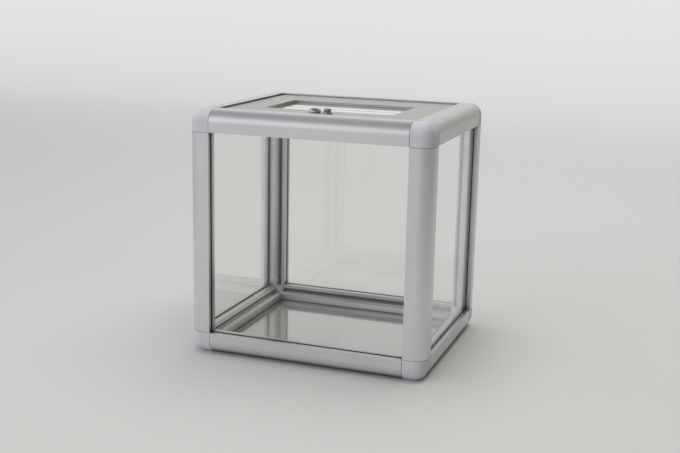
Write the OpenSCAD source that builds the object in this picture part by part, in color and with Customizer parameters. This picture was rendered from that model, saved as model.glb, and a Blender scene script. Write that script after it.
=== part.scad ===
// Ballot box: a clear box in a frame of rounded aluminium profiles, with a hinged lid and two cam locks.
// The origin is the centre of the rest face. X runs left to right, Y front to rear, Z up. Millimetres.

/* [Box] */
// Overall width, left to right
box_w = 335; // [260:1:600]
// Overall depth, front to rear
box_d = 282; // [230:1:500]
// Overall height
box_h = 336; // [200:1:600]

/* [Frame profile] */
// Width of each outer face of the profile
profile_w = 30; // [29:0.5:40]
// Radius of the rounded outer edge
edge_r = 17; // [10:0.5:20]
// Thickness of the outer lip beside the glazing groove
lip_t = 5.5; // [4.5:0.1:7]
// Width of the glazing groove
groove_w = 4.5; // [4:0.1:6]
// Depth of the glazing groove
groove_d = 9; // [8:0.1:10]
// Distance from the outer face to the far edge of the inner flange
flange_reach = 18; // [17:0.1:21]
// Mouth width of the screw channel in the slanted inner wall
channel_mouth = 7; // [5:0.1:8]
// Width of the screw channel behind its mouth
channel_w = 10; // [9:0.1:11]
// Depth of the screw channel
channel_d = 6.5; // [5:0.1:7]
// Thickness of the lips at the channel mouth
channel_lip = 2; // [1.2:0.1:2.5]
// Wall between the outer faces and the chamber
wall_t = 3; // [2:0.1:4]
// Width of the chamber that holds the connector spigots
chamber_w = 12.5; // [11:0.1:13]
// Cut across the inner corner of the chamber
chamber_cut = 5; // [4:0.1:7]

/* [Corner connectors] */
// Length of each spigot inside its profile
spigot_len = 14; // [12:0.5:14]
// Clearance round a spigot
spigot_clear = 0.1; // [0.05:0.05:0.3]
// Open joint between a connector and a profile
joint_gap = 0.5; // [0.2:0.1:1]
// Width of the shoulder that seats the profile
shoulder_w = 0.6; // [0.4:0.1:1]
// Diameter of the grub screws
screw_d = 4; // [3:0.5:5]
// Distance of a grub screw from the end of its profile
screw_inset = 7; // [4:0.5:9]
// Height of a grub screw above the floor of the channel
screw_proud = 1; // [0.2:0.1:2]
// Width of the hexagon socket, across its corners
socket_w = 2.3; // [1.5:0.1:2.6]
// Depth of the hexagon socket
socket_d = 2; // [1:0.1:3]

/* [Glazing] */
// Thickness of the clear panes
pane_t = 3; // [2:0.1:3.4]
// Length of pane held in the groove
pane_insert = 7; // [5:0.1:7.5]

/* [Lid] */
// Gap between the lid and the frame
lid_gap = 3; // [2:0.1:4]
// Depth of the lid below the top of the frame
lid_recess = 2; // [1:0.1:2.4]
// Thickness of the lid plate
lid_t = 3; // [2:0.1:3]
// Radius of the lid plate's corners
lid_corner_r = 2; // [1:0.5:6]
// Width of the window in the lid plate
window_w = 182; // [172:1:200]
// Depth of the window in the lid plate
window_d = 106; // [40:1:110]
// Distance from the lid's front edge to the window
window_inset = 48; // [46:1:54]
// Width of the tape that holds the window pane
tape_w = 12; // [6:0.5:14]
// Thickness of that tape
tape_t = 0.5; // [0.2:0.1:1]
// Thickness of the window pane
window_t = 3; // [2:0.5:4]
// Length of the ballot slot
slot_len = 165; // [80:1:168]
// Width of the ballot slot
slot_w = 7; // [5:0.5:12]

/* [Ledge seals] */
// Width of the tongue below the lid's edge
tongue_w = 7; // [5:0.5:9]
// Thickness of the tongue
tongue_t = 3; // [2:0.1:4]
// Clearance between the tongue and the closed lid
lid_rest_gap = 0.3; // [0.2:0.1:0.6]
// Half of the opening in the front ledge, where the cams turn
ledge_break = 38; // [36:1:60]

/* [Hinge] */
// Distance from the lid's rear edge to the hinge axis
hinge_inset = 12; // [11:0.5:16]
// Diameter of the hinge pins
pin_d = 3; // [2:0.1:3.4]
// Radial clearance of a pin in its ear
pin_clear = 0.1; // [0.1:0.05:0.4]
// Length of a pin past its ear
pin_end = 0.5; // [0.2:0.1:0.6]
// Thickness of the hinge ears
ear_t = 2; // [1.5:0.1:3]
// Width of a hinge ear along the side of the lid
ear_w = 14; // [10:0.5:15]
// Length of an ear's foot across the lid
foot_len = 18; // [16:0.5:22]
// Distance from the lid's side edge to an ear
ear_inset = 1; // [0.5:0.1:3]
// Length of a hinge block along its rail
block_len = 20; // [14:0.5:24]
// Reach of a hinge block out of its groove
block_reach = 2.4; // [1:0.1:2.6]
// Length of the cap that fills the gap beside the lid
cap_len = 12; // [6:0.5:14]
// Depth of that cap below the top of the frame
cap_drop = 0.5; // [0.2:0.1:2]
// Diameter of the studs below the lid
stud_d = 3; // [2:0.5:4]
// Distance between the two studs of an ear
stud_pitch = 8; // [7:0.5:9]
// Width of the stud nuts, across their corners
stud_nut_w = 6.3; // [5:0.1:6.6]
// Thickness of the stud nuts
stud_nut_t = 2.4; // [1.5:0.1:3]
// Length of the studs past their nuts
stud_proud = 1; // [0.5:0.1:1.5]

/* [Locks] */
// Distance between the two locks
lock_pitch = 18; // [17:0.5:24]
// Distance from the lid's front edge to the locks
lock_inset = 22; // [18:0.5:24]
// Diameter of the left lock's domed head
dome_d = 17; // [14:0.5:17]
// Height of the domed head
dome_h = 6; // [4:0.1:8]
// Radius of the domed head's shoulder
dome_r = 4; // [3:0.1:4]
// Diameter of the left lock's barrel
left_barrel_d = 12; // [11:0.1:13]
// Diameter of the left lock's plug
left_plug_d = 8; // [7:0.1:9]
// Width of the left lock's nut, across its corners
left_nut_w = 16.5; // [15:0.1:17.5]
// Diameter of the right lock's flange
flange_d = 14; // [12:0.5:16]
// Thickness of that flange
flange_t = 1.5; // [1:0.1:2.5]
// Diameter of the right lock's head
head_d = 10; // [9:0.1:11]
// Height of the right lock's head
head_h = 6.5; // [4:0.1:8]
// Diameter of the right lock's barrel
right_barrel_d = 9.5; // [8.6:0.1:11]
// Diameter of the right lock's plug
right_plug_d = 6; // [5.5:0.1:6.6]
// Width of the right lock's nut, across its corners
right_nut_w = 14; // [12.5:0.1:15]
// Clearance of each barrel in the lid plate
barrel_clear = 0.1; // [0.05:0.05:0.3]
// Clearance of each plug in its barrel
plug_clear = 0.2; // [0.1:0.05:0.3]
// Depth of each plug below the top of its head
plug_sunk = 0.5; // [0.2:0.1:1.5]
// Width of the keyways
keyway_w = 1.2; // [0.8:0.1:2]
// Length of the keyways
keyway_len = 4.4; // [3:0.1:5]
// Depth of the keyways
keyway_d = 4; // [2:0.5:6]
// Thickness of the lock nuts
lock_nut_t = 2.5; // [2:0.1:3]
// Thickness of the cams
cam_t = 1.8; // [1:0.1:2.2]
// Width of the cams
cam_w = 10; // [7:0.5:11]
// Length of cam inside the front groove when locked
cam_bite = 6; // [3:0.5:7]
// Distance from the axis to the step of the cam
cam_step = 15; // [11:0.5:17]
// Clearance between the cams and the nuts
cam_clear = 0.3; // [0.2:0.1:0.5]
// Diameter of the cam screws
cam_screw_d = 3; // [2:0.1:3.5]
// Diameter of the cam screws' heads
cam_head_d = 6; // [5:0.1:8]
// Height of those heads
cam_head_h = 2; // [1.2:0.1:2.6]
// Length of the cam screws in the plugs
cam_screw_len = 5; // [3:0.5:6]

/* [Hidden] */
$fn = 64;
over = 1;
left = -1;
right = 1;
front = -1;
rear = 1;
low = -1;
high = 1;
front_y = -box_d / 2;
inner_w = box_w - 2 * profile_w;
inner_d = box_d - 2 * profile_w;
// Sum of the two face distances along the slanted inner wall, its channel floor and the chamber's cut
slant_sum = profile_w + flange_reach;
channel_floor_sum = slant_sum - channel_d * sqrt(2);
chamber_sum = 2 * (wall_t + chamber_w) - chamber_cut;
bar_start = profile_w + joint_gap;
screw_len = (channel_floor_sum - chamber_sum) / sqrt(2) + screw_proud;
groove_bottom = profile_w - groove_d;
groove_mid = lip_t + groove_w / 2;
pane_edge = profile_w - pane_insert;
lid_w = inner_w - 2 * lid_gap;
lid_d = inner_d - 2 * lid_gap;
lid_top = box_h - lid_recess;
lid_bottom = lid_top - lid_t;
lid_front_y = -lid_d / 2;
window_y = lid_front_y + window_inset + window_d / 2;
pane_top = lid_bottom - tape_t;
pane_bottom = pane_top - window_t;
hinge_y = lid_d / 2 - hinge_inset;
hinge_z = box_h - groove_mid;
ear_x = lid_w / 2 - ear_inset;
// Half of the flat at each end of the slot
slot_flat = 0.01;
// Metal of an ear below its pin, and room kept between hinge parts and what is fixed
ear_wall = 3;
hinge_room = 2;
pin_socket_end = 1;
ear_drop = pin_d / 2 + ear_wall;
foot_bottom = lid_bottom - ear_t;
stud_mid_x = ear_x - ear_t - (foot_len - ear_t) / 2;
ledge_top = lid_bottom - lid_rest_gap;
ledge_end_y = hinge_y - max(block_len, ear_w) / 2 - hinge_room;
lock_y = lid_front_y + lock_inset;
cam_hub_top = lid_bottom - lock_nut_t - cam_clear;
cam_tip_top = box_h - groove_mid + cam_t / 2;
cam_len = lock_inset + lid_gap + cam_bite;

// Frame profile, drawn from its two outer faces: x = 0 and y = 0 are the outer faces

module rounded_corner_square(size, r) {
    difference() {
        square(size);
        difference() {
            translate([-over, -over])
                square(r + over);
            translate([r, r])
                circle(r);
        }
    }
}

// The chamber's outline, made smaller by a clearance
module chamber_shape(clear) {
    start = wall_t + clear;
    cut_sum = chamber_sum - clear * sqrt(2);
    intersection() {
        translate([start, start])
            square(chamber_w - 2 * clear);
        translate([start, start])
            rounded_corner_square(profile_w, edge_r - start);
        polygon([[0, 0], [cut_sum, 0], [0, cut_sum]]);
    }
}

module channel_shape() {
    translate([slant_sum / 2, slant_sum / 2])
        rotate(45) {
            translate([-channel_d, -channel_mouth / 2])
                square([channel_d + over, channel_mouth]);
            translate([-channel_d, -channel_w / 2])
                square([channel_d - channel_lip, channel_w]);
        }
}

module profile_shape() {
    difference() {
        rounded_corner_square(profile_w, edge_r);
        translate([profile_w + over, flange_reach - over])
            polygon([[0, 0], [0, slant_sum], [-slant_sum, slant_sum]]);
        translate([groove_bottom, lip_t])
            square([groove_d + over, groove_w]);
        translate([lip_t, groove_bottom])
            square([groove_w, groove_d + over]);
        channel_shape();
        chamber_shape(0);
    }
}

// A grub screw's place, its tip on the chamber and its axis square to the slanted wall
module at_screw(along) {
    translate([chamber_sum / 2, chamber_sum / 2, along])
        rotate([0, 90, 45])
            children();
}

// A profile of this overall length between the outer faces of two connectors
module bar(span) {
    color("silver")
        difference() {
            translate([0, 0, bar_start])
                linear_extrude(span - 2 * bar_start)
                    profile_shape();
            for (along = [bar_start + screw_inset, span - bar_start - screw_inset])
                at_screw(along)
                    translate([0, 0, -over])
                        cylinder(h = screw_len + over, d = screw_d);
        }
}

module grub_screw() {
    difference() {
        cylinder(h = screw_len, d = screw_d);
        translate([0, 0, screw_len - socket_d])
            cylinder(h = socket_d + over, d = socket_w, $fn = 6);
    }
}

module bar_screws(span) {
    for (along = [bar_start + screw_inset, span - bar_start - screw_inset])
        at_screw(along)
            grub_screw();
}

// Places a shape drawn from two outer faces, with its length along one axis of the box

module from_corner(side_x, side_y, side_z) {
    translate([side_x * box_w / 2, side_y * box_d / 2, side_z < 0 ? 0 : box_h])
        mirror([side_x > 0 ? 1 : 0, 0, 0])
            mirror([0, side_y > 0 ? 1 : 0, 0])
                mirror([0, 0, side_z > 0 ? 1 : 0])
                    children();
}

module along_z(side_x, side_y) {
    from_corner(side_x, side_y, low)
        children();
}

module along_x(side_y, side_z) {
    from_corner(left, side_y, side_z)
        rotate([90, 0, 90])
            children();
}

module along_y(side_x, side_z) {
    from_corner(side_x, front, side_z)
        rotate([90, 0, 90])
            rotate([90, 0, 90])
                children();
}

module grub_screws() {
    color("gainsboro")
        for (a = [-1, 1], b = [-1, 1]) {
            along_z(a, b)
                bar_screws(box_h);
            along_x(a, b)
                bar_screws(box_w);
            along_y(a, b)
                bar_screws(box_d);
        }
}

// Three-way corner connector

module quarter_round_edge() {
    translate([0, 0, edge_r])
        linear_extrude(profile_w - edge_r)
            intersection() {
                square(edge_r);
                translate([edge_r, edge_r])
                    circle(edge_r);
            }
}

module rounded_block() {
    flat = profile_w - edge_r;
    intersection() {
        cube(edge_r);
        translate([edge_r, edge_r, edge_r])
            sphere(edge_r);
    }
    quarter_round_edge();
    rotate([90, 0, 90])
        quarter_round_edge();
    rotate([90, 0, 90])
        rotate([90, 0, 90])
            quarter_round_edge();
    translate([edge_r, edge_r, 0])
        cube([flat, flat, edge_r]);
    translate([edge_r, 0, edge_r])
        cube([flat, edge_r, flat]);
    translate([0, edge_r, edge_r])
        cube([edge_r, flat, flat]);
    translate([edge_r, edge_r, edge_r])
        cube(flat);
}

// A spigot with the shoulder that seats the end of its profile
module spigot() {
    translate([0, 0, profile_w - over]) {
        linear_extrude(over + joint_gap)
            chamber_shape(-shoulder_w);
        linear_extrude(over + joint_gap + spigot_len)
            chamber_shape(spigot_clear);
    }
}

module pane_corner_slot() {
    translate([groove_bottom, groove_bottom, lip_t])
        cube([groove_d + over, groove_d + over, groove_w]);
}

module connector() {
    color("lightgray")
        union() {
            difference() {
                rounded_block();
                translate([profile_w, profile_w, flange_reach])
                    rotate(a = acos(1 / sqrt(3)), v = [-1, 1, 0])
                        translate([-profile_w, -profile_w, 0])
                            cube([2 * profile_w, 2 * profile_w, profile_w]);
                pane_corner_slot();
                rotate([90, 0, 90])
                    pane_corner_slot();
                rotate([90, 0, 90])
                    rotate([90, 0, 90])
                        pane_corner_slot();
            }
            spigot();
            rotate([90, 0, 90])
                spigot();
            rotate([90, 0, 90])
                rotate([90, 0, 90])
                    spigot();
        }
}

// Glazing: a pane and its seal, drawn from the outer faces of the two members that meet at the origin

module pane(span_a, span_b) {
    color("white", 0.3)
        translate([pane_edge, pane_edge, groove_mid - pane_t / 2])
            cube([span_a - 2 * pane_edge, span_b - 2 * pane_edge, pane_t]);
}

module seal(span_a, span_b) {
    color("black")
        difference() {
            translate([groove_bottom, groove_bottom, lip_t])
                cube([span_a - 2 * groove_bottom, span_b - 2 * groove_bottom, groove_w]);
            translate([profile_w, profile_w, lip_t - over])
                cube([span_a - 2 * profile_w, span_b - 2 * profile_w, groove_w + 2 * over]);
            pane(span_a, span_b);
        }
}

module front_or_rear(side) {
    from_corner(left, side, low)
        mirror([0, 1, 0])
            rotate([90, 0, 0])
                children();
}

module left_or_right(side) {
    from_corner(side, front, low)
        rotate([90, 0, 90])
            children();
}

module bottom_face() {
    from_corner(left, front, low)
        children();
}

// Black strips in the top rails' grooves, with a tongue that the closed lid rests on

module ledge_strip(start, end) {
    color("black")
        translate([0, 0, start])
            linear_extrude(end - start) {
                translate([groove_bottom, lip_t])
                    square([groove_d, groove_w]);
                translate([profile_w, box_h - ledge_top])
                    square([tongue_w, tongue_t]);
                translate([profile_w - over, max(lip_t, box_h - ledge_top)])
                    square([2 * over, min(groove_w, tongue_t) - over]);
            }
}

module side_ledge(side) {
    from_corner(side, front, high)
        mirror([0, 1, 0])
            rotate([90, 0, 0])
                ledge_strip(profile_w + tongue_w + lid_rest_gap, ledge_end_y - front_y);
}

module front_ledge(side) {
    from_corner(side, front, high)
        rotate([90, 0, 90])
            ledge_strip(profile_w + joint_gap, box_w / 2 - ledge_break);
}

// Hinge

module on_side(side) {
    mirror([side < 0 ? 1 : 0, 0, 0])
        children();
}

module hinge_block(side) {
    color("dimgray")
        on_side(side)
            difference() {
                translate([inner_w / 2 - block_reach, hinge_y, box_h - lip_t - groove_w]) {
                    translate([0, -block_len / 2, 0])
                        cube([groove_d + block_reach, block_len, groove_w]);
                    translate([0, block_len / 2 - cap_len, 0])
                        cube([block_reach, cap_len, groove_w + lip_t - cap_drop]);
                }
                hinge_pin_solid();
            }
}

module hinge_pin_solid() {
    pin_start = ear_x - ear_t - pin_end;
    translate([pin_start, hinge_y, hinge_z])
        rotate([0, 90, 0])
            cylinder(h = inner_w / 2 + groove_d - pin_socket_end - pin_start, d = pin_d);
}

module hinge_pin(side) {
    color("gainsboro")
        on_side(side)
            hinge_pin_solid();
}

module hinge_ear(side) {
    color("silver")
        on_side(side)
            difference() {
                union() {
                    translate([ear_x - ear_t, hinge_y - ear_w / 2, hinge_z - ear_drop])
                        cube([ear_t, ear_w, lid_bottom - hinge_z + ear_drop]);
                    translate([ear_x - foot_len, hinge_y - ear_w / 2, foot_bottom])
                        cube([foot_len, ear_w, ear_t]);
                }
                translate([ear_x - ear_t - over, hinge_y, hinge_z])
                    rotate([0, 90, 0])
                        cylinder(h = ear_t + 2 * over, d = pin_d + 2 * pin_clear);
                at_studs()
                    translate([0, 0, foot_bottom - over])
                        cylinder(h = ear_t + 2 * over, d = stud_d);
            }
}

module at_studs() {
    for (step = [-1, 1])
        translate([stud_mid_x + step * stud_pitch / 2, hinge_y, 0])
            children();
}

module ear_studs() {
    color("silver")
        for (side = [left, right])
            on_side(side)
                at_studs()
                    translate([0, 0, foot_bottom - stud_nut_t - stud_proud])
                        cylinder(h = ear_t + stud_nut_t + stud_proud, d = stud_d);
}

module ear_nuts() {
    color("gainsboro")
        for (side = [left, right])
            on_side(side)
                at_studs()
                    translate([0, 0, foot_bottom - stud_nut_t])
                        difference() {
                            cylinder(h = stud_nut_t, d = stud_nut_w, $fn = 6);
                            translate([0, 0, -over])
                                cylinder(h = stud_nut_t + 2 * over, d = stud_d);
                        }
}

// Lid

module rounded_rect(w, d, r) {
    square([w - 2 * r, d], center = true);
    square([w, d - 2 * r], center = true);
    for (a = [-1, 1], b = [-1, 1])
        translate([a * (w / 2 - r), b * (d / 2 - r)])
            circle(r);
}

module lid_plate() {
    color("silver")
        translate([0, 0, lid_bottom])
            linear_extrude(lid_t)
                difference() {
                    rounded_rect(lid_w, lid_d, lid_corner_r);
                    translate([0, window_y])
                        square([window_w, window_d], center = true);
                    translate([-lock_pitch / 2, lock_y])
                        circle(d = left_barrel_d + 2 * barrel_clear);
                    translate([lock_pitch / 2, lock_y])
                        circle(d = right_barrel_d + 2 * barrel_clear);
                }
}

module window_tape() {
    color("dimgray")
        translate([0, window_y, pane_top])
            linear_extrude(tape_t)
                difference() {
                    square([window_w + 2 * tape_w, window_d + 2 * tape_w], center = true);
                    square([window_w, window_d], center = true);
                }
}

module lid_window() {
    color("white", 0.3)
        translate([0, window_y, pane_bottom])
            linear_extrude(window_t)
                difference() {
                    square([window_w + 2 * tape_w, window_d + 2 * tape_w], center = true);
                    rounded_rect(slot_len, slot_w, slot_w / 2 - slot_flat);
                }
}

// Locks, each drawn round its own axis

module at_lock(side) {
    translate([side * lock_pitch / 2, lock_y, 0])
        children();
}

module barrel(d, plug_d) {
    translate([0, 0, cam_hub_top + cam_clear])
        difference() {
            cylinder(h = lid_top - cam_hub_top - cam_clear, d = d);
            translate([0, 0, -over])
                cylinder(h = lid_top - cam_hub_top + over, d = plug_d + 2 * plug_clear);
        }
}

module lock_housing_left() {
    bore_r = left_plug_d / 2 + plug_clear;
    color("gainsboro")
        at_lock(left) {
            barrel(left_barrel_d, left_plug_d);
            translate([0, 0, lid_top])
                rotate_extrude()
                    difference() {
                        translate([bore_r, 0])
                            square([dome_d / 2 - bore_r, dome_h]);
                        difference() {
                            translate([dome_d / 2 - dome_r, dome_h - dome_r])
                                square(dome_r + over);
                            translate([dome_d / 2 - dome_r, dome_h - dome_r])
                                circle(dome_r);
                        }
                    }
        }
}

module lock_housing_right() {
    bore_r = right_plug_d / 2 + plug_clear;
    color("gainsboro")
        at_lock(right) {
            barrel(right_barrel_d, right_plug_d);
            translate([0, 0, lid_top])
                rotate_extrude() {
                    translate([bore_r, 0])
                        square([head_d / 2 - bore_r, head_h]);
                    translate([bore_r, 0])
                        square([flange_d / 2 - bore_r, flange_t]);
                }
        }
}

module lock_nut(side, nut_w, barrel_d) {
    color("gainsboro")
        at_lock(side)
            translate([0, 0, lid_bottom - lock_nut_t])
                difference() {
                    cylinder(h = lock_nut_t, d = nut_w, $fn = 6);
                    translate([0, 0, -over])
                        cylinder(h = lock_nut_t + 2 * over, d = barrel_d);
                }
}

module lock_plug(side, plug_d, top) {
    color("silver")
        at_lock(side)
            difference() {
                translate([0, 0, cam_hub_top])
                    cylinder(h = top - plug_sunk - cam_hub_top, d = plug_d);
                translate([-keyway_w / 2, -keyway_len / 2, top - plug_sunk - keyway_d])
                    cube([keyway_w, keyway_len, keyway_d + over]);
                translate([0, 0, cam_hub_top - over])
                    cylinder(h = cam_screw_len + over, d = cam_screw_d);
            }
}

// The cam points outwards when unlocked: its hub lies below the nut and its tip level with the front groove
module cam(side) {
    hub_bottom = cam_hub_top - cam_t;
    tip_bottom = cam_tip_top - cam_t;
    low_z = min(hub_bottom, tip_bottom);
    high_z = max(cam_hub_top, cam_tip_top);
    color("silver")
        at_lock(side)
            on_side(side)
                difference() {
                    union() {
                        translate([0, 0, hub_bottom])
                            cylinder(h = cam_t, d = cam_w);
                        translate([0, -cam_w / 2, hub_bottom])
                            cube([cam_step, cam_w, cam_t]);
                        translate([cam_step - cam_t, -cam_w / 2, low_z])
                            cube([cam_t, cam_w, high_z - low_z]);
                        translate([cam_step - cam_t, -cam_w / 2, tip_bottom])
                            cube([cam_len - cam_step + cam_t, cam_w, cam_t]);
                    }
                    translate([0, 0, low_z - over])
                        cylinder(h = high_z - low_z + 2 * over, d = cam_screw_d);
                }
}

module cam_screw(side) {
    hub_bottom = cam_hub_top - cam_t;
    color("gainsboro")
        at_lock(side) {
            translate([0, 0, hub_bottom - cam_head_h])
                cylinder(h = cam_head_h, d = cam_head_d);
            translate([0, 0, hub_bottom - over])
                cylinder(h = cam_t + cam_screw_len + over, d = cam_screw_d);
        }
}

along_z(left, front) bar(box_h);  // post_front_left
along_z(right, front) bar(box_h);  // post_front_right
along_z(left, rear) bar(box_h);  // post_rear_left
along_z(right, rear) bar(box_h);  // post_rear_right
along_x(front, high) bar(box_w);  // top_rail_front
along_x(rear, high) bar(box_w);  // top_rail_rear
along_y(left, high) bar(box_d);  // top_rail_left
along_y(right, high) bar(box_d);  // top_rail_right
along_x(front, low) bar(box_w);  // bottom_rail_front
along_x(rear, low) bar(box_w);  // bottom_rail_rear
along_y(left, low) bar(box_d);  // bottom_rail_left
along_y(right, low) bar(box_d);  // bottom_rail_right
from_corner(left, front, high) connector();  // connector_top_front_left
from_corner(right, front, high) connector();  // connector_top_front_right
from_corner(left, rear, high) connector();  // connector_top_rear_left
from_corner(right, rear, high) connector();  // connector_top_rear_right
from_corner(left, front, low) connector();  // connector_bottom_front_left
from_corner(right, front, low) connector();  // connector_bottom_front_right
from_corner(left, rear, low) connector();  // connector_bottom_rear_left
from_corner(right, rear, low) connector();  // connector_bottom_rear_right
grub_screws();
front_or_rear(front) pane(box_w, box_h);  // pane_front
front_or_rear(rear) pane(box_w, box_h);  // pane_rear
left_or_right(left) pane(box_d, box_h);  // pane_left
left_or_right(right) pane(box_d, box_h);  // pane_right
bottom_face() pane(box_w, box_d);  // floor_panel
front_or_rear(front) seal(box_w, box_h);  // seal_front
front_or_rear(rear) seal(box_w, box_h);  // seal_rear
left_or_right(left) seal(box_d, box_h);  // seal_left
left_or_right(right) seal(box_d, box_h);  // seal_right
bottom_face() seal(box_w, box_d);  // seal_floor
side_ledge(left);  // ledge_seal_left
side_ledge(right);  // ledge_seal_right
front_ledge(left);  // ledge_seal_front_left
front_ledge(right);  // ledge_seal_front_right
hinge_block(left);  // hinge_block_left
hinge_block(right);  // hinge_block_right
hinge_pin(left);  // hinge_pin_left
hinge_pin(right);  // hinge_pin_right
lid_plate();
lid_window();
window_tape();
hinge_ear(left);  // hinge_ear_left
hinge_ear(right);  // hinge_ear_right
ear_studs();
ear_nuts();
lock_housing_left();
lock_housing_right();
lock_nut(left, left_nut_w, left_barrel_d);  // lock_nut_left
lock_nut(right, right_nut_w, right_barrel_d);  // lock_nut_right
lock_plug(left, left_plug_d, lid_top + dome_h);  // lock_plug_left
lock_plug(right, right_plug_d, lid_top + head_h);  // lock_plug_right
cam(left);  // cam_left
cam(right);  // cam_right
cam_screw(left);  // cam_screw_left
cam_screw(right);  // cam_screw_right
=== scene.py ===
"""A clear ballot box in a frame of rounded aluminium profiles, with a hinged lid and two cam locks."""
import math

import bmesh
import bpy
from mathutils import Matrix, Vector

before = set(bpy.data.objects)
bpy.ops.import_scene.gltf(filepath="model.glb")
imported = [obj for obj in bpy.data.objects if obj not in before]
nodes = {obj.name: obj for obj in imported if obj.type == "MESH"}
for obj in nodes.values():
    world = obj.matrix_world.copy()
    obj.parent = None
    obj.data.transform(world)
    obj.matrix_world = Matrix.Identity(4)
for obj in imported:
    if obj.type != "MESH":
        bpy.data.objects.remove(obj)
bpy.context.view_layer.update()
MM = 0.001

# Camera, in millimetres and radians in the part's own frame
CAMERA_AT = (498.9, -1399.0, 500.5)
CAMERA_YAW = 0.3432
CAMERA_PITCH = 0.2229
CAMERA_ROLL = 0.0210
SENSOR = 36.0
LENS = 56.75
# The nearest and farthest that it sees, in metres
CLIP_NEAR, CLIP_FAR = 0.01, 50


def make_camera():
    """Puts the camera where the photograph was taken from."""
    ahead = Vector((
        -math.sin(CAMERA_YAW) * math.cos(CAMERA_PITCH),
        math.cos(CAMERA_YAW) * math.cos(CAMERA_PITCH),
        -math.sin(CAMERA_PITCH),
    ))
    level = Vector((math.cos(CAMERA_YAW), math.sin(CAMERA_YAW), 0))
    up = level.cross(ahead)
    side = math.cos(CAMERA_ROLL) * level + math.sin(CAMERA_ROLL) * up
    top = math.cos(CAMERA_ROLL) * up - math.sin(CAMERA_ROLL) * level
    camera = bpy.data.objects.new("camera", bpy.data.cameras.new("camera"))
    bpy.context.scene.collection.objects.link(camera)
    turn = Matrix((side, top, -ahead)).transposed().to_4x4()
    camera.matrix_world = Matrix.Translation(Vector(CAMERA_AT) * MM) @ turn
    camera.data.sensor_fit = "HORIZONTAL"
    camera.data.sensor_width = SENSOR
    camera.data.lens = LENS
    camera.data.clip_start = CLIP_NEAR
    camera.data.clip_end = CLIP_FAR
    bpy.context.scene.camera = camera


make_camera()


# Shader expressions

class Value:
    """The output of a shader node, with the usual operators where it is a number."""

    def __init__(self, tree, socket):
        self.tree = tree
        self.socket = socket

    def other(self, name):
        """Another output of the same node."""
        return Value(self.tree, self.socket.node.outputs[name])

    def _math(self, operation, *terms):
        node = self.tree.nodes.new("ShaderNodeMath")
        node.operation = operation
        for i, term in enumerate(terms):
            if isinstance(term, Value):
                self.tree.links.new(term.socket, node.inputs[i])
            else:
                node.inputs[i].default_value = term
        return Value(self.tree, node.outputs[0])

    def __add__(self, other):
        return self._math("ADD", self, other)

    def __radd__(self, other):
        return self._math("ADD", other, self)

    def __sub__(self, other):
        return self._math("SUBTRACT", self, other)

    def __rsub__(self, other):
        return self._math("SUBTRACT", other, self)

    def __mul__(self, other):
        return self._math("MULTIPLY", self, other)

    def __rmul__(self, other):
        return self._math("MULTIPLY", other, self)

    def __truediv__(self, other):
        return self._math("DIVIDE", self, other)

    def __rtruediv__(self, other):
        return self._math("DIVIDE", other, self)

    def between(self, low, high):
        return self._math("MINIMUM", self._math("MAXIMUM", self, low), high)


class Shading:
    """A node tree, with one method that makes any node in it."""

    def __init__(self, tree):
        self.tree = tree
        self.tree.nodes.clear()

    def node(self, kind, settings=None, values=None, out=0):
        """Makes a node from its settings and the values or links of its sockets, and gives one output."""
        node = self.tree.nodes.new(kind)
        for name, setting in (settings or {}).items():
            setattr(node, name, setting)
        for name, value in (values or {}).items():
            socket = node.inputs[name]
            if isinstance(value, Value):
                self.tree.links.new(value.socket, socket)
            else:
                socket.default_value = value
        return Value(self.tree, node.outputs[out]) if node.outputs else None

    def blend(self, amount, first, second):
        """A colour between two, each given as a colour or as an output."""
        ends = [end if isinstance(end, Value) else (*end, 1) for end in (first, second)]
        return self.node("ShaderNodeMix", {"data_type": "RGBA"}, {
            "Factor": amount, "A": ends[0], "B": ends[1],
        }, out="Result")

    def either(self, amount, first, second):
        """One shader that gives way to another."""
        return self.node("ShaderNodeMixShader", values={0: amount, 1: first, 2: second})


# A worn edge's width, and how fast it brightens
EDGE_MM = 0.5
EDGE_GAIN = 4
# The painted shade deep in a groove, how wide a groove has to be to stay free of it, and how fast the
# colour turns
GROOVE_SHADE = (0.075, 0.072, 0.062)
GROOVE_MM = 12
GROOVE_GAIN = 2.0
GROOVE_FROM = 0.45
# Rays that look for a worn edge or a groove
FEELERS = 6


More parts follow.
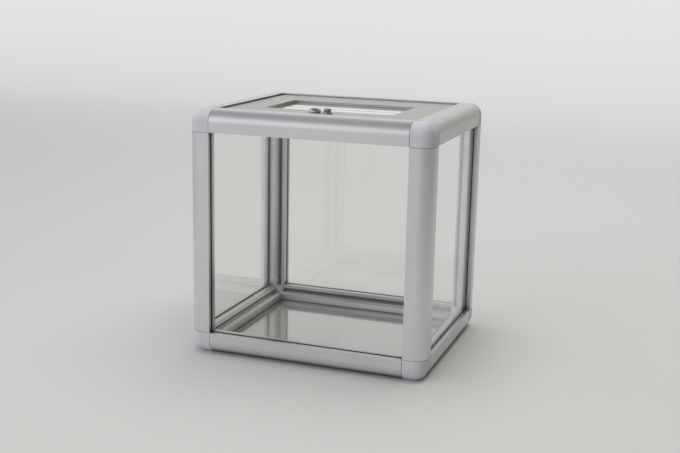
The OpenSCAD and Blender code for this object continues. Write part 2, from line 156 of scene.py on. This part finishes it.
class Finish(Shading):
    """A material whose patterns keep their place on the part."""

    def __init__(self, name):
        self.material = bpy.data.materials.new(name)
        self.material.use_nodes = True
        super().__init__(self.material.node_tree)

    def noise(self, scale, stretch=(1, 1, 1), detail=3.0, roughness=0.5):
        """Noise of a scale given per metre, stretched along the part's axes."""
        here = self.node("ShaderNodeTexCoord", out="Object")
        place = self.node("ShaderNodeMapping", values={"Vector": here, "Scale": stretch})
        return self.node("ShaderNodeTexNoise", values={
            "Vector": place, "Scale": scale, "Detail": detail, "Roughness": roughness,
        })

    def bump(self, height, depth_mm):
        """The normal of a surface with this relief."""
        return self.node("ShaderNodeBump", values={"Height": height, "Distance": depth_mm * MM})

    def worn_edges(self):
        """1 on a sharp edge and 0 on a face, from the difference between bevelled and true normals."""
        soft = self.node("ShaderNodeBevel", {"samples": FEELERS}, {"Radius": EDGE_MM * MM})
        true = self.node("ShaderNodeNewGeometry", out="Normal")
        likeness = self.node(
            "ShaderNodeVectorMath", {"operation": "DOT_PRODUCT"}, {0: soft, 1: true}, out="Value",
        )
        return ((1 - likeness) * EDGE_GAIN).between(0, 1)

    def painted_groove_shade(self, colour):
        """Painted shade: a colour that darkens in grooves and channels, where little light reaches."""
        open_share = self.node(
            "ShaderNodeAmbientOcclusion", {"samples": FEELERS}, {"Distance": GROOVE_MM * MM}, out="AO",
        )
        # The share of painted shade, from how little of the room is open round the point
        shade = ((1 - open_share) * GROOVE_GAIN - GROOVE_FROM).between(0, 1)
        return self.blend(shade, colour, GROOVE_SHADE)

    def surface(self, **values):
        """The finished material, from the values of one shader."""
        return self.done(self.node("ShaderNodeBsdfPrincipled", values=values))

    def done(self, shader):
        """The finished material, from its outermost shader."""
        self.node("ShaderNodeOutputMaterial", values={"Surface": shader})
        return self.material


AXES = {"x": 0, "y": 1, "z": 2}
# Drawn lines: how far their noise is drawn out, their share of the tone, their roughness and depth
LINE_STRETCH = 0.012
LINE_SHARE = 0.35
LINE_ROUGH = 0.10
LINE_MM = 0.006
# Broad clouds in the tone, per metre, and what they add in roughness
CLOUD_SCALE = 9.0
CLOUD_ROUGH = 0.06
WORN_SHARE = 0.35
# Share of the anodised surface that mirrors as bare metal does
ANODISED = 0.8
# The smoothest that any metal or moulded piece gets
SMOOTHEST = 0.05


def drawn_metal(name, axis, dark, light, rough, line_scale, groove_shade=True):
    """Anodised or brushed metal whose fine lines run along one axis, with painted shade in its grooves
    where asked.
    """
    finish = Finish(name)
    drawn_out = tuple(LINE_STRETCH if i == AXES[axis] else 1 for i in range(3))
    lines = finish.noise(line_scale, drawn_out, detail=2.0)
    cloud = finish.noise(CLOUD_SCALE, detail=2.0)
    worn = finish.worn_edges()
    tone = (LINE_SHARE * lines + (1 - LINE_SHARE) * cloud + WORN_SHARE * worn).between(0, 1)
    colour = finish.blend(tone, dark, light)
    uneven = LINE_ROUGH * (lines - 0.5) + CLOUD_ROUGH * (cloud - 0.5)
    return finish.surface(**{
        # Painted shade in the grooves, unless it is turned off
        "Base Color": finish.painted_groove_shade(colour) if groove_shade else colour,
        "Metallic": ANODISED,
        "Roughness": (rough + uneven).between(SMOOTHEST, 1),
        "Normal": finish.bump(lines, LINE_MM),
    })


# Grains in one unit of the noise pattern, and their share of the tone
GRAINS = 3
GRAIN_SHARE = 0.5
# Smudges on moulded pieces, per metre, and what they add in roughness
SMUDGE_SCALE = 30.0
SMUDGE_ROUGH = 0.12


def moulded(name, dark, light, rough, grain_mm, depth_mm, specular=0.5):
    """Moulded plastic, rubber or foam with a fine grain."""
    finish = Finish(name)
    grain = finish.noise(1 / (grain_mm * MM * GRAINS), detail=2.0)
    smudge = finish.noise(SMUDGE_SCALE)
    tone = (GRAIN_SHARE * grain + (1 - GRAIN_SHARE) * smudge).between(0, 1)
    return finish.surface(**{
        "Base Color": finish.blend(tone, dark, light),
        "Roughness": (rough + SMUDGE_ROUGH * (smudge - 0.5)).between(SMOOTHEST, 1),
        "Specular IOR Level": specular,
        "Normal": finish.bump(grain, depth_mm),
    })


# Handling marks on plated metal, per metre, about three times as long upwards as across
MARK_SCALE = 220.0
MARK_STRETCH = (1, 1, 0.3)
MARK_ROUGH = 0.14
MARK_MM = 0.003
SMOOTHEST_PLATE = 0.03


def plated(name, dark, light, rough):
    """Bright plated metal with faint handling marks."""
    finish = Finish(name)
    marks = finish.noise(MARK_SCALE, MARK_STRETCH, detail=5.0, roughness=0.65)
    return finish.surface(**{
        "Base Color": finish.blend(marks, dark, light),
        "Metallic": 1.0,
        "Roughness": (rough + MARK_ROUGH * (marks - 0.5)).between(SMOOTHEST_PLATE, 1),
        "Normal": finish.bump(marks, MARK_MM),
    })


SHEET_IOR = 1.49
# A sheet's two faces together mirror nearly twice what one does
BOTH_FACES = 1.8
# Faint haze on the gloss, per metre, and the shares of roughness that are there without it and that it adds
HAZE_SCALE = 14.0
GLOSS_LEAST, GLOSS_HAZE = 0.6, 0.8
# A sawn edge: its colour and roughness, and how much of the light it scatters
SAWN = (0.80, 0.83, 0.82)
SAWN_ROUGH, SAWN_UNEVEN = 0.45, 0.2
SAWN_SHARE = 0.8
# How soon a face that leans is no longer an edge of a sheet that lies flat
SAWN_LEAN = 4


def clear_sheet(name, tint, gloss_rough, lies_flat=False):
    """A clear sheet: it lets light straight through, and mirrors more of it the flatter it is seen."""
    finish = Finish(name)
    haze = finish.noise(HAZE_SCALE, detail=4.0)
    through = finish.node("ShaderNodeBsdfTransparent", values={"Color": (*tint, 1)})
    mirror = finish.node("ShaderNodeBsdfPrincipled", values={
        "Base Color": (1, 1, 1, 1),
        "Metallic": 1.0,
        "Roughness": gloss_rough * (GLOSS_LEAST + GLOSS_HAZE * haze),
    })
    leaving = finish.node("ShaderNodeNewGeometry", out="Backfacing")
    shine = finish.node("ShaderNodeFresnel", values={"IOR": SHEET_IOR})
    both_faces = (shine * BOTH_FACES * (1 - leaving)).between(0, 1)
    sheet = finish.either(both_faces, through, mirror)
    if lies_flat:
        upward = finish.node("ShaderNodeSeparateXYZ", values={"Vector": leaving.other("Normal")}, out="Z")
        sawn = (1 - upward * upward * SAWN_LEAN).between(0, 1) * SAWN_SHARE
        frosted = finish.node("ShaderNodeBsdfPrincipled", values={
            "Base Color": (*SAWN, 1),
            "Roughness": SAWN_ROUGH + SAWN_UNEVEN * haze,
        })
        sheet = finish.either(sawn, sheet, frosted)
    return finish.done(sheet)


# Finishes, in linear colour; line scales are per metre
profile = {
    axis: drawn_metal(
        f"profile_{axis}", axis, dark=(0.565, 0.575, 0.595), light=(0.685, 0.695, 0.715),
        rough=0.34, line_scale=900,
    )
    for axis in AXES
}
lid_metal = drawn_metal(
    "lid_metal", "x", dark=(0.385, 0.385, 0.37), light=(0.46, 0.46, 0.44),
    rough=0.30, line_scale=700, groove_shade=False,
)
corner_plastic = moulded(
    "corner_plastic", dark=(0.43, 0.435, 0.48), light=(0.505, 0.51, 0.56),
    rough=0.45, grain_mm=0.6, depth_mm=0.02,
)
black_rubber = moulded(
    "black_rubber", dark=(0.006, 0.006, 0.007), light=(0.014, 0.014, 0.015),
    rough=0.7, grain_mm=0.5, depth_mm=0.02, specular=0.25,
)
black_plastic = moulded(
    "black_plastic", dark=(0.02, 0.02, 0.021), light=(0.04, 0.04, 0.042),
    rough=0.45, grain_mm=0.5, depth_mm=0.02,
)
grey_foam = moulded(
    "grey_foam", dark=(0.16, 0.16, 0.165), light=(0.26, 0.26, 0.265),
    rough=0.85, grain_mm=0.8, depth_mm=0.08, specular=0.2,
)
bright_plate = plated("bright_plate", dark=(0.40, 0.40, 0.40), light=(0.62, 0.62, 0.62), rough=0.12)
zinc_plate = plated("zinc_plate", dark=(0.42, 0.42, 0.43), light=(0.60, 0.60, 0.60), rough=0.34)
clear = clear_sheet("clear_sheet", tint=(0.985, 0.99, 0.985), gloss_rough=0.02)
window_clear = clear_sheet("window_clear", tint=(0.98, 0.985, 0.98), gloss_rough=0.02, lies_flat=True)

# What the names of the CAD nodes start with, and the finish of those pieces; the first that fits counts
FINISHES = (
    (("post_",), profile["z"]),
    (("top_rail_front", "top_rail_rear", "bottom_rail_front", "bottom_rail_rear"), profile["x"]),
    (("top_rail_", "bottom_rail_"), profile["y"]),
    (("connector_",), corner_plastic),
    (("pane_", "floor_panel"), clear),
    (("seal_", "ledge_seal_"), black_rubber),
    (("hinge_block_",), black_plastic),
    (("hinge_pin_", "cam_", "ear_", "grub_screws"), zinc_plate),
    (("lock_housing_", "lock_nut_", "lock_plug_"), bright_plate),
    (("lid_plate", "hinge_ear_"), lid_metal),
    (("lid_window",), window_clear),
    (("window_tape",), grey_foam),
)
for name, piece in nodes.items():
    finish = next(finish for starts, finish in FINISHES if name.startswith(starts))
    piece.data.materials.clear()
    piece.data.materials.append(finish)


# Floor and backdrop, one sweep that curves up behind the box, in metres
PAPER = (0.56, 0.56, 0.555)
PAPER_FIBRE = (0.58, 0.58, 0.575)
PAPER_ROUGH = 0.75
PAPER_SPECULAR = 0.3
FIBRE_SCALE = 60.0
# Painted light: the glow of the backdrop, and the painted shade on its dim side
BACKDROP = (0.80, 0.80, 0.795)
DIM_BACKDROP = (0.28, 0.27, 0.19)
# Distances over which the floor turns into the painted pale glow of the backdrop, and that glow into the
# painted shade of the dim room
PALE_FROM, PALE_OVER = 0.2, 3.6
DIM_FROM, DIM_OVER = 0.62, 1.1
SWEEP_HALF_W = 6.0
SWEEP_FRONT = -7.0
SWEEP_TURN = 2.6
SWEEP_R = 1.4
SWEEP_TOP = 5.0
SWEEP_STEPS = 24


def paper_finish():
    """Matt paper where the lamps light it; towards the back a painted glow, pale, with painted shade making
    it dim beyond the right edge of the view.
    """
    paper = Finish("paper")
    here = paper.node("ShaderNodeTexCoord", out="Object")
    x = paper.node("ShaderNodeSeparateXYZ", values={"Vector": here})
    y = x.other("Y")
    dim = ((x - DIM_FROM) / DIM_OVER).between(0, 1)
    pale = ((y - PALE_FROM) / PALE_OVER).between(0, 1)
    fibre = paper.noise(FIBRE_SCALE, detail=4.0)
    matt = paper.node("ShaderNodeBsdfPrincipled", values={
        "Base Color": paper.blend(fibre, PAPER, PAPER_FIBRE),
        "Roughness": PAPER_ROUGH,
        "Specular IOR Level": PAPER_SPECULAR,
    })
    # Painted light: the paper glows for camera, glossy and transmission rays, with painted shade to the
    # right
    painted_glow = paper.node("ShaderNodeEmission", values={
        "Color": paper.blend(dim, BACKDROP, DIM_BACKDROP),
        "Strength": 1.0,
    })
    ray = paper.node("ShaderNodeLightPath", out="Is Camera Ray")
    seen = (ray + ray.other("Is Glossy Ray") + ray.other("Is Transmission Ray")).between(0, 1)
    return paper.done(paper.either(seen * pale, matt, painted_glow))


def make_sweep():
    """Lays a strip from in front of the box, round a quarter turn and up behind it."""
    mesh = bmesh.new()
    line = [(SWEEP_FRONT, 0.0), (SWEEP_TURN, 0.0)]
    for i in range(1, SWEEP_STEPS + 1):
        angle = math.pi / 2 * i / SWEEP_STEPS
        line.append((SWEEP_TURN + SWEEP_R * math.sin(angle), SWEEP_R * (1 - math.cos(angle))))
    line.append((SWEEP_TURN + SWEEP_R, SWEEP_TOP))
    rows = [[mesh.verts.new((side * SWEEP_HALF_W, y, z)) for side in (-1, 1)] for y, z in line]
    for here, there in zip(rows, rows[1:]):
        mesh.faces.new((here[0], here[1], there[1], there[0])).smooth = True
    data = bpy.data.meshes.new("sweep")
    mesh.to_mesh(data)
    mesh.free()
    sweep = bpy.data.objects.new("sweep", data)
    bpy.context.scene.collection.objects.link(sweep)
    data.materials.append(paper_finish())


make_sweep()

# Lamps, in metres and watts: a soft one to the front left and a brighter one overhead
KEY_AT, KEY_SIZE, KEY_WATTS = (-1.4, -2.6, 0.9), (2.4, 1.8), 30
OVERHEAD_AT, OVERHEAD_SIZE, OVERHEAD_WATTS = (0.2, 0.4, 2.6), (2.2, 2.2), 54
KEY_COLOUR = (1.0, 1.0, 1.0)
OVERHEAD_COLOUR = (1.0, 1.0, 0.99)
AIM_AT = (0, 0, 0.17)


def area_light(name, at, size, watts, colour):
    """A rectangular lamp that is aimed at the box and shows in no reflection."""
    light = bpy.data.lights.new(name, "AREA")
    light.shape = "RECTANGLE"
    light.size, light.size_y = size
    light.energy = watts
    light.color = colour
    lamp = bpy.data.objects.new(name, light)
    bpy.context.scene.collection.objects.link(lamp)
    lamp.location = at
    lamp.visible_glossy = False
    lamp.rotation_euler = (Vector(AIM_AT) - Vector(at)).to_track_quat("-Z", "Y").to_euler()


area_light("key", KEY_AT, KEY_SIZE, KEY_WATTS, KEY_COLOUR)
area_light("overhead", OVERHEAD_AT, OVERHEAD_SIZE, OVERHEAD_WATTS, OVERHEAD_COLOUR)

# The room that the metal mirrors: its colours to the left and right, and where one turns into the other
WINDOW_SIDE = (0.96, 0.97, 0.99)
DIM_SIDE = (0.26, 0.25, 0.17)
TURN_FROM, TURN_OVER = -0.45, 1.2
# Its strength low down, what it gains up to a height, and what the ceiling takes off; heights are sines
LOW_GLOW = 0.80
MORE_GLOW = 0.50
GLOW_HEIGHT = 0.42
CEILING_LOSS = 1.02
CEILING_FROM, CEILING_OVER = 0.45, 0.40


def make_room():
    """The room round the box, with the backdrop's plain colour where the camera sees past the sweep."""
    world = bpy.data.worlds.new("room")
    bpy.context.scene.world = world
    world.use_nodes = True
    room = Shading(world.node_tree)
    direction = room.node("ShaderNodeTexCoord", out="Generated")
    x = room.node("ShaderNodeSeparateXYZ", values={"Vector": direction})
    height = x.other("Z")
    rightward = ((x - TURN_FROM) / TURN_OVER).between(0, 1)
    glow = LOW_GLOW + MORE_GLOW * (height / GLOW_HEIGHT).between(0, 1)
    ceiling = ((height - CEILING_FROM) / CEILING_OVER).between(0, 1)
    sky = room.node("ShaderNodeBackground", values={
        "Color": room.blend(rightward, WINDOW_SIDE, DIM_SIDE),
        "Strength": glow - CEILING_LOSS * ceiling,
    })
    beyond = room.node("ShaderNodeBackground", values={"Color": (*BACKDROP, 1), "Strength": 1.0})
    ray = room.node("ShaderNodeLightPath", out="Is Camera Ray")
    room.node("ShaderNodeOutputWorld", values={"Surface": room.either(ray, sky, beyond)})


make_room()
bpy.context.scene.view_settings.view_transform = "Standard"
